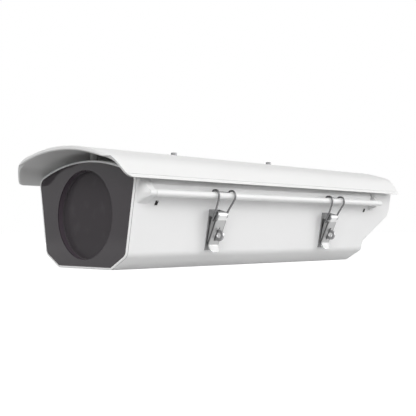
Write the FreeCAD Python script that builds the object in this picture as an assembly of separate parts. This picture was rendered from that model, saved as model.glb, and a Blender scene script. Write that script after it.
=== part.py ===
import FreeCAD, Part
import math
import os

os.makedirs("parts", exist_ok=True)
V = FreeCAD.Vector

# Sizes in millimetres. x runs across, y runs back from the front rim, z runs up from the bottom.

# Body section
body_length = 442.0
body_height = 105.5
bottom_half_width = 42.0
bevel_half_width = 64.5
bevel_height = 13.0
side_lean_deg = 9.9
arch_radius = 195.0
arch_half_span = 64.0
bottom_corner_radius = 3.0
bevel_corner_radius = 9.0
shoulder_radius = 10.0
shell_wall = 2.5
split_height = 69.0

# Bottom bracket mount
mount_centre_y = 190.0
mount_spacing_across = 50.0
mount_spacing_along = 70.0
mount_hole_radius = 3.25
mount_pad_height = 3.0
mount_pad_margin = 9.0

# Front cap, panel and window
front_cap_depth = 16.0
cap_wall = 2.8
rim_width = 2.0
rim_round = 1.2
panel_pocket_depth = 3.0
panel_setback = 0.2
panel_gap = 0.1
bulkhead_thickness = 3.0
window_drop = 0.45
window_land = 4.4
collar_wall = 2.4
collar_gap = 0.2
window_seal_thickness = 1.2
window_seal_lap = 0.8
glass_edge_gap = 1.75
glass_thickness = 3.0
retainer_thickness = 2.5
retainer_lap = 1.3
retainer_rim = 0.3
retainer_lug_radius = 4.2
retainer_screw_offset = 3.8
retainer_boss_radius = 3.2
retainer_screw_length = 6.0

# Spigots, end seals and the lid seal
spigot_gap = 0.3
spigot_wall = 2.5
spigot_length = 18.0
lid_spigot_length = 10.0
web_thickness = 3.0
end_seal_inset = 0.9
end_seal_width = 1.2
end_seal_depth = 1.0
lid_seal_thickness = 1.0
lid_seal_inset = 3.2
lid_seal_width = 2.8
arch_seal_thickness = 1.6
arch_seal_width = 6.0

# Cheek of the front cap that carries the end of the hook rail
cheek_start = 4.6
cheek_full = 8.5
cheek_low_drop = 9.8
cheek_high_drop = 20.5
groove_start = 4.4
groove_width = 2.1
groove_depth = 1.6

# Lid and hook rail
lid_wall = 2.3
lid_gap = 0.4
lid_lip = 3.9
lid_lip_thickness = 2.0
rail_reach = 10.5
rail_centre_z = 71.8
rail_radius = 3.5
rail_flange_thickness = 2.4
lid_band_root = 1.3
lid_band_height = 8.4
lid_band_out = 2.1
lid_band_gap = 2.0

# Rear cap
rear_joint = 387.0
lid_rear = 391.0
rear_low_y = 390.0
rear_step_height = 24.3
rear_slope_top = 58.0
rear_hollow_radius = 7.0
rear_slope_radius = 15.0
rear_edge_radius = 2.8

# Hood
hood_front = -31.0
hood_rear = 440.0
hood_side_gap = 12.5
hood_lip_drop = 21.0
hood_rise = 11.8
hood_lip_run = 12.5
hood_arch_radius = 220.0
hood_arch_half_span = 66.0
hood_bend_radius = 20.0
hood_sheet = 2.6
hood_hem = 4.1
hood_hem_depth = 5.0
hood_corner_radius = 48.3
hood_corner_width = 34.5
hood_edge_round = 1.25
hood_lip_front_radius = 9.0
hood_lip_rear_radius = 4.0
hood_groove_height = 3.0
hood_groove_radius = 0.45
hood_fixing_y = (120.0, 281.0)
standoff_radius = 6.0
hood_screw_radius = 2.0
hood_screw_head_radius = 3.5
hood_screw_head_height = 3.8
hood_screw_socket = 3.0
hood_screw_length = 12.0
hood_washer_radius = 4.1
hood_washer_thickness = 0.8
rest_pad_radius = 4.0
rest_pad_front_y = 12.0
rest_pad_rear_y = 425.0
post_root = 5.0

# Lid hinges on the far side
hinge_reach = 5.3
hinge_axis_z = 69.2
hinge_positions = (100.0, 300.0)
hinge_length = 40.0
hinge_knuckle_radius = 3.2
hinge_pin_radius = 1.6
hinge_leaf_thickness = 1.6
hinge_leaf_low = 48.0
hinge_leaf_high = 86.0
rivet_radius = 1.6
rivet_head_radius = 2.8
rivet_head_height = 0.9
rivet_length = 5.0
hinge_shell_rivet_z = 55.0
hinge_lid_rivet_z = 79.5

# Draw latches
latch_positions = (108.0, 300.0)
latch_half_width = 7.25
latch_plate_thickness = 1.5
latch_plate_low = 17.5
latch_plate_high = 58.5
latch_rivet_heights = (21.0, 45.0)
latch_sheet = 1.2
latch_side_gap = 0.3
lever_reach = 10.2
lever_pivot_z = 52.7
lever_barrel_radius = 3.6
lever_pin_radius = 1.5
lever_face_setback = 0.5
lever_angle_deg = 24.7
lever_face_end = 31.5
lever_tip_length = 8.0
lever_tip_angle_deg = -21.0
lever_flange_start = 5.2
lever_heel_height = 26.0
lever_wall_gap = 1.4
lever_slot_start = 12.4
lever_slot_end = 27.0
lever_slot_width = 3.2
bail_pivot_radius = 6.5
bail_pivot_angle_deg = 236.0
bail_wire_radius = 1.0
bail_half_width = 11.9
bail_low_half_width = 8.5
bail_hook_radius = 5.3
bail_hook_angle_deg = 40.0
bail_knee_out = 2.6
bail_knee_rise = 5.8
bail_shoulder_drop = 2.8
eye_reach = 11.6
eye_centre_z = 32.3
eye_radius = 5.8
eye_hole_radius = 2.8
eye_thickness = 1.8

# Side screws of the caps
side_screw_drop = 6.0
side_screw_front_y = 29.0
side_screw_rear_y = 381.5
side_screw_radius = 1.7
side_screw_head_radius = 3.4
side_screw_length = 8.0
flat_slot_share = 0.2

# Camera plate, board and glands
rail_rib_half_gap = 27.0
rail_rib_width = 6.0
rail_rib_top = 10.5
rail_rib_start = 45.0
rail_rib_end = 366.0
camera_plate_thickness = 2.5
camera_plate_start = 60.0
camera_plate_end = 300.0
camera_plate_half_width = 34.0
camera_screw_y = 150.0
camera_screw_radius = 3.1
camera_screw_head_radius = 7.0
camera_screw_head_height = 4.2
camera_stud_height = 7.5
plate_hole_radius = 6.0
plate_hole_y = (95.0, 205.0, 240.0, 275.0)
board_start = 318.0
board_end = 362.0
board_half_width = 34.0
board_thickness = 1.6
screw_radius = 1.25
screw_head_radius = 2.8
screw_head_height = 2.0
screw_length = 7.0
screw_inset = 6.0
plate_corner_radius = 4.0
terminal_poles = 6
terminal_pitch = 7.6
terminal_height = 13.0
terminal_depth = 11.0
gland_positions = (-26.0, 0.0, 26.0)
gland_bore_radius = 4.0
gland_barrel_radius = 8.0
gland_hex = 21.0
gland_flange_thickness = 4.5
gland_barrel_length = 11.0
gland_nut_hex = 19.0
gland_nut_length = 12.0
locknut_thickness = 3.5
fit_gap = 0.05
loose_gap = 0.3

side_slope = math.tan(math.radians(side_lean_deg))


def wall_x(z):
    """Half-width of the leaning side wall at height z."""
    return bevel_half_width + side_slope * (z - bevel_height)


# Sizes and places that follow from the ones above

window_height = body_height / 2 - window_drop
glass_radius = body_height / 2 - cap_wall - glass_edge_gap
window_radius = glass_radius - window_land
retainer_inner_radius = window_radius - retainer_lap
retainer_screw_circle = glass_radius + retainer_screw_offset
hood_height = body_height + hood_rise
hood_low = body_height - hood_lip_drop
side_screw_height = split_height - side_screw_drop
cheek_low = rail_centre_z - cheek_low_drop
cheek_high = body_height - cheek_high_drop
lid_band_edge = rail_centre_z + lid_band_height
hood_half_width = wall_x(hood_low) + hood_side_gap
hood_bend_half_width = hood_half_width - hood_lip_run
rail_centre_x = wall_x(rail_centre_z) + rail_reach
hinge_axis_x = -wall_x(hinge_axis_z) - hinge_reach
lever_pivot_x = wall_x(lever_pivot_z) + lever_reach
eye_centre_x = wall_x(eye_centre_z) + eye_reach


# Helpers


def unit(vector):
    """The vector scaled to length one."""
    return vector * (1.0 / vector.Length)


def path_edges(points, radii, closed):
    """Lines and tangent arcs that follow the points, each corner rounded by its radius."""
    count = len(points)
    starts = []
    ends = []
    arcs = []
    for i, here in enumerate(points):
        radius = radii[i]
        open_end = not closed and i in (0, count - 1)
        if radius <= 0 or open_end:
            starts.append(here)
            ends.append(here)
            arcs.append(None)
            continue
        back = unit(points[i - 1] - here)
        ahead = unit(points[(i + 1) % count] - here)
        angle = back.getAngle(ahead)
        reach = radius / math.tan(angle / 2)
        bisector = unit(back + ahead)
        centre = here + bisector * (radius / math.sin(angle / 2))
        starts.append(here + back * reach)
        ends.append(here + ahead * reach)
        arcs.append(centre - bisector * radius)
    edges = []
    for i in range(count):
        if arcs[i] is not None:
            edges.append(Part.Arc(starts[i], arcs[i], ends[i]).toShape())
        following = (i + 1) % count
        if following == 0 and not closed:
            break
        if (ends[i] - starts[following]).Length > 1e-6:
            edges.append(Part.makeLine(ends[i], starts[following]))
    return edges


def outline(points, radii):
    """Closed wire through the points with rounded corners."""
    return Part.Wire(Part.__sortEdges__(path_edges(points, radii, True)))


def section_slab(corners, radii, y0, y1):
    """Extrusion along y of a closed outline given as (x, z) corners."""
    points = [V(x, y0, z) for x, z in corners]
    return Part.Face(outline(points, radii)).extrude(V(0, y1 - y0, 0))


def side_slab(corners, radii, x0, x1):
    """Extrusion along x of a closed outline given as (y, z) corners."""
    points = [V(x0, y, z) for y, z in corners]
    return Part.Face(outline(points, radii)).extrude(V(x1 - x0, 0, 0))


def plan_slab(corners, radii, z0, z1):
    """Extrusion along z of a closed outline given as (x, y) corners."""
    points = [V(x, y, z0) for x, y in corners]
    return Part.Face(outline(points, radii)).extrude(V(0, 0, z1 - z0))


def block(x0, x1, y0, y1, z0, z1):
    """Box between two corners."""
    return Part.makeBox(x1 - x0, y1 - y0, z1 - z0, V(x0, y0, z0))


def rod(start, direction, radius, length):
    """Cylinder that starts at a point and runs along a direction."""
    return Part.makeCylinder(radius, length, start, direction)


def fuse(shapes):
    """One solid from overlapping solids."""
    shape = shapes[0]
    for other in shapes[1:]:
        shape = shape.fuse(other)
    return shape.removeSplitter()


def inset_corners(corners, amounts):
    """Corners of a counter-clockwise outline with each side moved inward by its amount."""
    count = len(corners)
    lines = []
    for i in range(count):
        x0, z0 = corners[i]
        x1, z1 = corners[(i + 1) % count]
        length = math.hypot(x1 - x0, z1 - z0)
        dx = (x1 - x0) / length
        dz = (z1 - z0) / length
        lines.append((x0 - dz * amounts[i], z0 + dx * amounts[i], dx, dz))
    moved = []
    for i in range(count):
        ax, az, adx, adz = lines[i - 1]
        bx, bz, bdx, bdz = lines[i]
        cross = adx * bdz - adz * bdx
        t = ((bx - ax) * bdz - (bz - az) * bdx) / cross
        moved.append((ax + adx * t, az + adz * t))
    return moved


def roof(top, radius, half_span):
    """Height of the tangent point, slope and apex height of an arch with straight shoulders."""
    slope = math.tan(math.asin(half_span / radius))
    low = top - (radius - math.sqrt(radius ** 2 - half_span ** 2))
    return low, slope, low + slope * half_span


def body_corners():
    """Corners of the body section, counter-clockwise from the bottom left."""
    low, slope, apex = roof(body_height, arch_radius, arch_half_span)
    shoulder_z = (apex - slope * (bevel_half_width - side_slope * bevel_height)) / (1 + slope * side_slope)
    shoulder_x = wall_x(shoulder_z)
    return [(-bottom_half_width, 0.0), (bottom_half_width, 0.0), (bevel_half_width, bevel_height),
            (shoulder_x, shoulder_z), (0.0, apex), (-shoulder_x, shoulder_z),
            (-bevel_half_width, bevel_height)]


def body_block(inset, y0, y1):
    """Solid with the body's section, set in by a constant amount."""
    corners = inset_corners(body_corners(), [inset] * 7)
    base = max(bottom_corner_radius - inset, 0.4)
    bevel = bevel_corner_radius - inset
    shoulder = shoulder_radius - inset
    radii = [base, base, bevel, shoulder, arch_radius - inset, shoulder, bevel]
    return section_slab(corners, radii, y0, y1)


def body_ring(outer_inset, inner_inset, y0, y1):
    """Tube with the body's section between two insets."""
    return body_block(outer_inset, y0, y1).cut(body_block(inner_inset, y0 - 1, y1 + 1))


def below(shape, z):
    """The part of a shape under height z."""
    box = shape.BoundBox
    return shape.common(block(box.XMin - 1, box.XMax + 1, box.YMin - 1, box.YMax + 1, box.ZMin - 1, z))


def above(shape, z):
    """The part of a shape over height z."""
    box = shape.BoundBox
    return shape.common(block(box.XMin - 1, box.XMax + 1, box.YMin - 1, box.YMax + 1, z, box.ZMax + 1))


def pan_screw(seat, direction, shank_radius, head_radius, head_height, length):
    """Screw with a domed, slotted head that seats at a point and drives along a direction."""
    out = unit(direction) * -1.0
    head = rod(seat, out, head_radius, head_height)
    dome = Part.makeSphere(head_radius * 1.35, seat + out * (head_height - head_radius * 1.35))
    head = head.common(dome)
    shank = rod(seat, unit(direction), shank_radius, length)
    across = unit(out.cross(V(0.3, 0.9, 0.2)))
    beside = out.cross(across)
    slot_half = head_radius * 0.14
    corner = seat + out * (head_height * 0.55) - across * head_radius - beside * slot_half
    slot_face = Part.Face(Part.makePolygon([
        corner, corner + across * (2 * head_radius),
        corner + across * (2 * head_radius) + beside * (2 * slot_half),
        corner + beside * (2 * slot_half), corner]))
    return head.cut(slot_face.extrude(out * head_height)).fuse(shank)


def hex_prism(start, direction, across_flats, length):
    """Hexagonal bar that starts at a point and runs along a direction."""
    radius = across_flats / math.sqrt(3.0)
    points = []
    for i in range(7):
        angle = math.radians(60 * i)
        points.append(V(radius * math.cos(angle), radius * math.sin(angle), 0))
    bar = Part.Face(Part.makePolygon(points)).extrude(V(0, 0, length))
    bar.Placement = FreeCAD.Placement(start, FreeCAD.Rotation(V(0, 0, 1), direction))
    return bar


def export(name, shapes):
    """Write one node, with the origin at the centre of the bottom bracket holes."""
    shape = shapes[0] if len(shapes) == 1 else Part.makeCompound(shapes)
    moved = shape.copy()
    moved.translate(V(0, -mount_centre_y, 0))
    moved.exportStep("parts/" + name + ".step")


# Lower shell

def side_screw_seats():
    """Seat points and inward directions of the four countersunk side screws."""
    normal = V(math.cos(math.radians(side_lean_deg)), 0, -math.sin(math.radians(side_lean_deg)))
    seats = []
    for y in (side_screw_front_y, side_screw_rear_y):
        for side in (1, -1):
            seat = V(side * wall_x(side_screw_height), y, side_screw_height)
            seats.append((seat, V(-side * normal.x, 0, -normal.z)))
    return seats


def rib_screw_points(start, end):
    """Four screw points over the floor ribs for a plate between two y values."""
    x = rail_rib_half_gap + rail_rib_width / 2
    return [(side * x, y) for side in (1, -1) for y in (start + screw_inset, end - screw_inset)]


def mount_points():
    """Centres of the four bracket holes."""
    x = mount_spacing_across / 2
    y = mount_spacing_along / 2
    return [(side * x, mount_centre_y + end * y) for side in (1, -1) for end in (1, -1)]


def lower_shell():
    """Open trough with bevelled corners, sealing ledges, floor ribs and a thick bracket pad."""
    shell = below(body_ring(0, shell_wall, front_cap_depth, rear_joint), split_height)
    ledge = body_ring(shell_wall - 0.2, lid_seal_inset + lid_seal_width + 0.3,
                      front_cap_depth + spigot_length + 1, rear_joint - spigot_length - 1)
    ledge = above(below(ledge, split_height), split_height - lid_lip_thickness)
    ribs = []
    for side in (1, -1):
        inner = side * rail_rib_half_gap
        outer = side * (rail_rib_half_gap + rail_rib_width)
        ribs.append(block(min(inner, outer), max(inner, outer), rail_rib_start, rail_rib_end,
                          shell_wall - 0.5, rail_rib_top))
    pad_x = mount_spacing_across / 2 + mount_pad_margin
    pad_y = mount_spacing_along / 2 + mount_pad_margin
    pad = plan_slab([(-pad_x, mount_centre_y - pad_y), (pad_x, mount_centre_y - pad_y),
                     (pad_x, mount_centre_y + pad_y), (-pad_x, mount_centre_y + pad_y)],
                    [mount_pad_margin] * 4, shell_wall - 0.5, shell_wall + mount_pad_height)
    shell = fuse([shell, ledge, pad] + ribs)
    for x, y in mount_points():
        shell = shell.cut(rod(V(x, y, -1), V(0, 0, 1), mount_hole_radius, shell_wall + mount_pad_height + 2))
    for seat, inward in side_screw_seats():
        hole = flat_screw_hole(seat, inward, side_screw_radius, side_screw_head_radius, side_screw_length)
        shell = shell.cut(hole)
    points = rib_screw_points(camera_plate_start, camera_plate_end) + rib_screw_points(board_start, board_end)
    for x, y in points:
        hole = rod(V(x, y, rail_rib_top - screw_length), V(0, 0, 1), screw_radius + fit_gap, screw_length)
        shell = shell.cut(hole)
    for seat, inward in latch_rivet_seats() + hinge_rivet_seats(False):
        shell = shell.cut(rod(seat - inward * 3, inward, rivet_radius + fit_gap, 12))
    return shell


def flat_screw_hole(seat, inward, shank_radius, head_radius, length):
    """Countersunk clearance hole for a flat screw that drives inward from its seat."""
    hole = rod(seat - inward, inward, shank_radius + fit_gap, length + 3)
    depth = head_radius - shank_radius
    sink = Part.makeCone(head_radius + fit_gap, shank_radius + fit_gap, depth, seat, inward)
    mouth = rod(seat - inward * 2, inward, head_radius + fit_gap, 2.01)
    return hole.fuse(sink).fuse(mouth)


def flat_screw(seat, inward, across, shank_radius, head_radius, length):
    """Countersunk screw whose slotted head ends flush at its seat."""
    depth = head_radius - shank_radius
    cone = Part.makeCone(head_radius, shank_radius, depth, seat, inward)
    shank = rod(seat, inward, shank_radius, length)
    beside = inward.cross(across)
    slot_half = head_radius * flat_slot_share
    corner = seat - inward * 0.1 - across * head_radius - beside * slot_half
    slot = Part.Face(Part.makePolygon([
        corner, corner + across * (2 * head_radius),
        corner + across * (2 * head_radius) + beside * (2 * slot_half),
        corner + beside * (2 * slot_half), corner]))
    return cone.fuse(shank).cut(slot.extrude(inward * (depth * 0.85)))


def side_screws():
    """Countersunk slotted screws that hold the caps' spigots."""
    screws = []
    for seat, inward in side_screw_seats():
        turn = -1.0 if inward.x < 0 else 1.0
        across = unit(V(0, 1, 0) + inward.cross(V(0, 1, 0)) * turn)
        screws.append(flat_screw(seat, inward, across, side_screw_radius, side_screw_head_radius,
                                 side_screw_length))
    return screws


# Front cap, panel and window

def cap_spigots(face_y, into, lid_face_y):
    """Rings that reach from a cap into the shell and under the lid, with their connecting webs."""
    y0 = min(face_y, face_y + into * spigot_length)
    y1 = max(face_y, face_y + into * spigot_length)
    outer = shell_wall + spigot_gap
    lower = below(body_ring(outer, outer + spigot_wall, y0, y1), split_height - 0.5)
    lid_inner = lid_wall + lid_gap + arch_seal_thickness
    z_arch = split_height + lid_seal_thickness + 0.1
    y0 = min(lid_face_y, lid_face_y + into * lid_spigot_length)
    y1 = max(lid_face_y, lid_face_y + into * lid_spigot_length)
    upper = above(body_ring(lid_inner, lid_inner + spigot_wall, y0, y1), z_arch)
    low_web = below(body_ring(1.0, outer + spigot_wall, min(face_y, face_y - into * web_thickness),
                              max(face_y, face_y - into * web_thickness)), split_height - 0.5)
    web_y = (lid_face_y, lid_face_y - into * web_thickness)
    high_web = above(body_ring(1.0, lid_inner + spigot_wall, min(web_y), max(web_y)), split_height - 1)
    return [lower, upper, low_web, high_web]


def end_seal(face_y, into, from_z, to_z):
    """Rubber strip let into the face of a cap, between two heights."""
    ring = body_ring(end_seal_inset, end_seal_inset + end_seal_width,
                     min(face_y, face_y - into * end_seal_depth), max(face_y, face_y - into * end_seal_depth))
    return above(below(ring, to_z), from_z)


def cheek():
    """Faceted cheek that grows out of the front cap's side and ends in the hook rail's section."""
    full = [(wall_x(cheek_low) - 2.5, cheek_low), (wall_x(cheek_low), cheek_low),
            (rail_centre_x, rail_centre_z - rail_radius), (rail_centre_x + rail_radius, rail_centre_z),
            (rail_centre_x, rail_centre_z + rail_radius), (wall_x(cheek_high), cheek_high),
            (wall_x(cheek_high) - 2.5, cheek_high)]
    flat = [full[0], full[1]]
    for z in (rail_centre_z - rail_radius - 1.5, rail_centre_z, rail_centre_z + rail_radius + 1.5):
        flat.append((wall_x(z) + 0.05, z))
    flat += [full[5], full[6]]
    wires = []
    for y, corners in ((cheek_start, flat), (cheek_full, full)):
        points = [V(x, y, z) for x, z in corners]
        wires.append(Part.makePolygon(points + points[:1]))
    nose = Part.makeLoft(wires, True, True)
    return [nose, section_slab(full, [0] * 7, cheek_full, front_cap_depth),
            rod(V(rail_centre_x, cheek_full, rail_centre_z), V(0, 1, 0), rail_radius,
                front_cap_depth - cheek_full)]


def retainer_screw_points():
    """Centres of the four window retainer screws, on the diagonals."""
    reach = retainer_screw_circle / math.sqrt(2.0)
    return [(sx * reach, window_height + sz * reach) for sx in (1, -1) for sz in (1, -1)]


def window_stack():
    """Distances back from the front rim of the bulkhead, seal, glass and retainer faces."""
    bulkhead = panel_pocket_depth + bulkhead_thickness
    glass = bulkhead + window_seal_thickness
    retainer = glass + glass_thickness
    return bulkhead, glass, retainer, retainer + retainer_thickness


def front_cap():
    """Cast front cap with a narrow rim, a bulkhead behind the panel, the spigots and the cheek."""
    bulkhead, glass, retainer = window_stack()[:3]
    cap = body_block(0, 0, front_cap_depth)
    front_edges = [e for e in cap.Edges if e.BoundBox.YMax < 0.01]
    cap = cap.makeFillet(rim_round, front_edges)
    cap = cap.cut(body_block(rim_width, -1, panel_pocket_depth))
    cap = cap.cut(body_block(cap_wall, bulkhead, front_cap_depth + 1))
    opening_radius = window_radius + collar_wall + collar_gap
    cap = cap.cut(rod(V(0, 0, window_height), V(0, 1, 0), opening_radius, bulkhead + 1))
    groove = side_slab([(groove_start, cheek_high + 1), (groove_start + groove_width / 2, cheek_low),
                        (groove_start + groove_width, cheek_high + 1)], [0] * 3, wall_x(cheek_low) - 4, 90)
    groove = groove.cut(body_block(groove_depth, 0, front_cap_depth))
    cap = cap.cut(groove)
    pieces = [cap] + cheek() + cap_spigots(front_cap_depth, 1, front_cap_depth)
    for x, z in retainer_screw_points():
        pieces.append(rod(V(x, bulkhead - 0.5, z), V(0, 1, 0), retainer_boss_radius,
                          retainer - bulkhead + 0.5))
    cap = fuse(pieces)
    for x, z in retainer_screw_points():
        cap = cap.cut(rod(V(x, retainer, z), V(0, -1, 0), screw_radius + fit_gap, 5))
    cap = cap.cut(end_seal(front_cap_depth, 1, -1, body_height + 1))
    for seat, inward in side_screw_seats()[:2]:
        cap = cap.cut(rod(seat - inward, inward, side_screw_radius + fit_gap, side_screw_length + 3))
    return cap


def front_panel():
    """Dark front panel with the round window opening and its collar."""
    panel = body_block(rim_width + panel_gap, panel_setback, panel_pocket_depth)
    bulkhead = window_stack()[0]
    collar = rod(V(0, panel_setback, window_height), V(0, 1, 0), window_radius + collar_wall,
                 bulkhead - panel_setback)
    panel = fuse([panel, collar])
    return panel.cut(rod(V(0, -1, window_height), V(0, 1, 0), window_radius, bulkhead + 2))


def ring(inner, outer, y0, y1):
    """Flat ring around the window axis."""
    body = rod(V(0, y0, window_height), V(0, 1, 0), outer, y1 - y0)
    return body.cut(rod(V(0, y0 - 1, window_height), V(0, 1, 0), inner, y1 - y0 + 2))


def glass_retainer():
    """Ring with four lugs that clamps the glass against its seal."""
    retainer = window_stack()[2]
    pieces = [rod(V(0, retainer, window_height), V(0, 1, 0), glass_radius + retainer_rim, retainer_thickness)]
    for x, z in retainer_screw_points():
        pieces.append(rod(V(x, retainer, z), V(0, 1, 0), retainer_lug_radius, retainer_thickness))
    plate = fuse(pieces)
    plate = plate.cut(rod(V(0, retainer - 1, window_height), V(0, 1, 0), retainer_inner_radius, 9))
    for x, z in retainer_screw_points():
        plate = plate.cut(rod(V(x, retainer - 1, z), V(0, 1, 0), screw_radius + fit_gap, 9))
    return plate


def retainer_screws():
    """Four small screws that hold the glass retainer."""
    end = window_stack()[3]
    return [pan_screw(V(x, end, z), V(0, -1, 0), screw_radius, screw_head_radius, screw_head_height,
                      retainer_screw_length)
            for x, z in retainer_screw_points()]


# Rear cap

def rear_profile(inset):
    """Side profile of the rear cap: a short foot, a slope for the glands and an upright back."""
    front = rear_joint - 20
    top = body_height + 20
    corners = [(front, 0.0), (rear_low_y, 0.0), (rear_low_y, rear_step_height),
               (body_length, rear_slope_top), (body_length, top), (front, top)]
    corners = inset_corners(corners, [-5.0 if inset else 0.0, inset, inset, inset, 0.0, 0.0])
    radii = [0, 0, rear_hollow_radius + inset, rear_slope_radius - inset, 0, 0]
    return side_slab(corners, radii, -100, 100)


def rear_block():
    """Outer shape of the rear cap, with the edges rounded all round its back."""
    shape = body_block(0, rear_joint, body_length).common(rear_profile(0))
    chosen = []
    for edge in shape.Edges:
        middle = edge.valueAt((edge.FirstParameter + edge.LastParameter) / 2)
        tangent = edge.tangentAt(edge.FirstParameter)
        straight = edge.Curve.TypeId == "Part::GeomLine"
        seam = straight and max(abs(tangent.x), abs(tangent.y)) > 0.999 and middle.z > 0.01
        if middle.y > rear_low_y - 0.1 and not seam:
            chosen.append(edge)
    return shape.makeFillet(rear_edge_radius, chosen)


def gland_frame():
    """Middle of the sloping face and its outward direction."""
    run = body_length - rear_low_y
    rise = rear_slope_top - rear_step_height
    length = math.hypot(run, rise)
    middle = (rear_low_y + run / 2, rear_step_height + rise / 2)
    return middle, V(0, rise / length, -run / length)


def rear_cap():
    """Cast rear cap, hollow, with spigots and three gland holes in its sloping face."""
    outer = rear_block()
    cap = outer.cut(body_block(cap_wall, rear_joint - 1, body_length).common(rear_profile(cap_wall)))
    cap = cap.cut(block(-100, 100, rear_joint - 1, lid_rear + lid_gap, split_height, body_height + 5))
    spigots = cap_spigots(rear_joint, -1, lid_rear + lid_gap)
    low_web = spigots[2].common(outer)
    cap = fuse([cap, spigots[0], spigots[1], low_web, spigots[3], rear_cheek()])
    middle, out = gland_frame()
    for x in gland_positions:
        point = V(x, middle[0], middle[1])
        cap = cap.cut(rod(point - out * 12, out, gland_barrel_radius + fit_gap, 14))
    cap = cap.cut(end_seal(rear_joint, -1, -1, split_height))
    cap = cap.cut(end_seal(lid_rear + lid_gap, -1, split_height + 1, body_height + 1))
    for seat, inward in side_screw_seats()[2:]:
        cap = cap.cut(rod(seat - inward, inward, side_screw_radius + fit_gap, side_screw_length + 3))
    return cap


def rear_cheek():
    """Rounded cheek that closes the rear end of the hook rail."""
    start = lid_rear + lid_gap
    base = [(wall_x(cheek_low) - 2, cheek_low), (rail_centre_x, rail_centre_z - rail_radius),
            (rail_centre_x + rail_radius, rail_centre_z), (rail_centre_x, rail_centre_z + rail_radius),
            (wall_x(cheek_high) - 2, cheek_high)]
    wires = []
    for y, share in ((start, 0.0), (start + 9, 0.35), (start + 18, 1.0)):
        points = [V(x - share * (x - wall_x(z) + 2), y, z) for x, z in base]
        wires.append(Part.makePolygon(points + points[:1]))
    body = Part.makeLoft(wires, True, True)
    end = rod(V(rail_centre_x, start, rail_centre_z), V(0, 1, 0), rail_radius, 7)
    tip = Part.makeSphere(rail_radius, V(rail_centre_x, start + 7, rail_centre_z))
    return body.fuse(end).fuse(tip)


def glands():
    """Gland bodies, dome nuts and locknuts on the sloping face."""
    middle, out = gland_frame()
    bodies = []
    nuts = []
    locknuts = []
    for x in gland_positions:
        face = V(x, middle[0], middle[1])
        body = hex_prism(face, out, gland_hex, gland_flange_thickness)
        body = body.fuse(rod(face - out * gland_barrel_length, out, gland_barrel_radius,
                             gland_barrel_length + 1))
        body = body.fuse(rod(face, out, gland_barrel_radius - 1, gland_flange_thickness + 6))
        bodies.append(body.cut(rod(face - out * 20, out, gland_bore_radius, 50)).removeSplitter())
        start = face + out * gland_flange_thickness
        nut = hex_prism(start, out, gland_nut_hex, gland_nut_length * 0.6)
        cone_start = start + out * (gland_nut_length * 0.6)
        nut = nut.fuse(Part.makeCone(gland_nut_hex / 2, gland_bore_radius + 1.6, gland_nut_length * 0.4,
                                     cone_start, out))
        nut = nut.cut(rod(start - out, out, gland_barrel_radius - 1, 7))
        nuts.append(nut.cut(rod(start, out, gland_bore_radius, 50)).removeSplitter())
        seat = face - out * cap_wall
        locknut = hex_prism(seat, out * -1.0, gland_hex, locknut_thickness)
        locknuts.append(locknut.cut(rod(seat + out, out * -1.0, gland_barrel_radius, 20)))
    return bodies, nuts, locknuts


# Lid

def lid_shell():
    """Arched lid with its hook rail, inner stiffening lips and hood fixing holes."""
    y0 = front_cap_depth + lid_gap
    bottom = split_height + lid_gap
    lid = above(body_ring(0, lid_wall, y0, lid_rear), bottom)
    lip_z = split_height + lid_seal_thickness + loose_gap
    lips = body_ring(lid_wall - 0.2, lid_wall + lid_lip, front_cap_depth + lid_spigot_length + 1,
                     lid_rear - lid_spigot_length - 1)
    lips = below(above(lips, lip_z), lip_z + lid_lip_thickness)
    flange_top = rail_centre_z + 0.4
    flange = block(wall_x(split_height) - 1.5, rail_centre_x, y0, lid_rear,
                   flange_top - rail_flange_thickness, flange_top)
    bead = rod(V(rail_centre_x, y0, rail_centre_z), V(0, 1, 0), rail_radius, lid_rear - y0)
    band_x = wall_x(lid_band_edge) + lid_band_out
    band_low = rail_centre_z - lid_band_root
    band = [(wall_x(band_low) - 1, band_low), (band_x - 0.6, band_low), (band_x, lid_band_edge),
            (wall_x(cheek_high), cheek_high), (wall_x(cheek_high) - 1, cheek_high)]
    band = section_slab(band, [0] * 5, y0 + lid_band_gap, lid_rear - lid_band_gap)
    lid = fuse([lid, lips, flange, bead, band])
    for y in hood_fixing_y:
        hole = rod(V(0, y, body_height - 2 * lid_wall), V(0, 0, 1), standoff_radius / 2 + fit_gap,
                   3 * lid_wall)
        lid = lid.cut(hole)
    for seat, inward in hinge_rivet_seats(True):
        lid = lid.cut(rod(seat - inward * 3, inward, rivet_radius + fit_gap, 12))
    return lid


def lid_seal():
    """Rubber seal on the shell's ledges and on the caps' arched spigots."""
    y0 = front_cap_depth + 0.2
    strips = body_ring(lid_seal_inset, lid_seal_inset + lid_seal_width, y0, rear_joint - 0.2)
    strips = below(above(strips, split_height), split_height + lid_seal_thickness)
    inset = lid_wall + lid_gap
    pieces = [strips]
    for start, end in ((y0, y0 + arch_seal_width), (lid_rear + 0.2 - arch_seal_width, lid_rear + 0.2)):
        low = min(start, rear_joint - 6.0)
        pieces.append(above(body_ring(inset, inset + arch_seal_thickness, start, end), split_height + 0.2))
        pieces.append(below(above(body_ring(lid_seal_inset, lid_seal_inset + 1.1, low, end),
                                  split_height + 0.2), split_height + lid_seal_thickness))
    return fuse(pieces)


# Hood

def hood_bend_z():
    """Height of the sharp corner between the hood's arch and its lips."""
    low, slope, apex = roof(hood_height, hood_arch_radius, hood_arch_half_span)
    return low - slope * (hood_bend_half_width - hood_arch_half_span)


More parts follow.
